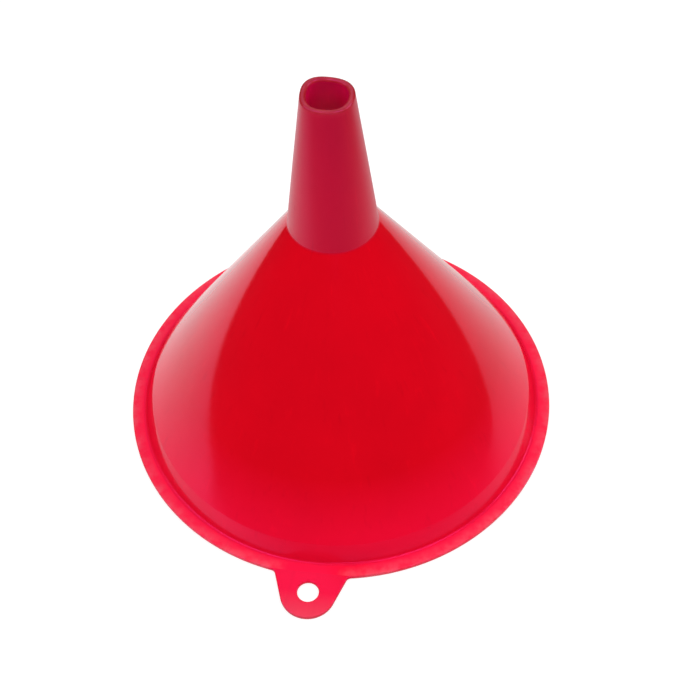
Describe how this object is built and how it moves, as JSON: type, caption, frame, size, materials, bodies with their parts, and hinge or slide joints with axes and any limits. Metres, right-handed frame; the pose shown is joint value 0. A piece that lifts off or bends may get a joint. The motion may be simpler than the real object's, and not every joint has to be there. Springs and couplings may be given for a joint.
{
  "type": "funnel",
  "caption": "Round moulded plastic funnel: flat rim flange with a holed hanging tab, short steep band, conical bowl, tapered spout with a rounded lip.",
  "frame": {"origin": "centre of the open mouth, in the plane that the rim rests on", "axes": "+Z along the funnel's axis from the mouth to the spout's tip; -Y towards the hanging tab"},
  "size_m": [0.12, 0.1317, 0.1103],
  "materials": {
    "gloss_red": "gloss, slightly translucent polypropylene",
    "satin_red": "satin, slightly translucent polypropylene"
  },
  "bodies": {
    "root": {"rim_flange": "gloss_red", "rim_band": "gloss_red", "bowl_cone": "gloss_red", "neck_collar": "satin_red", "spout_tube": "satin_red", "spout_lip": "satin_red", "hang_tab": "gloss_red"}
  },
  "joints": []
}
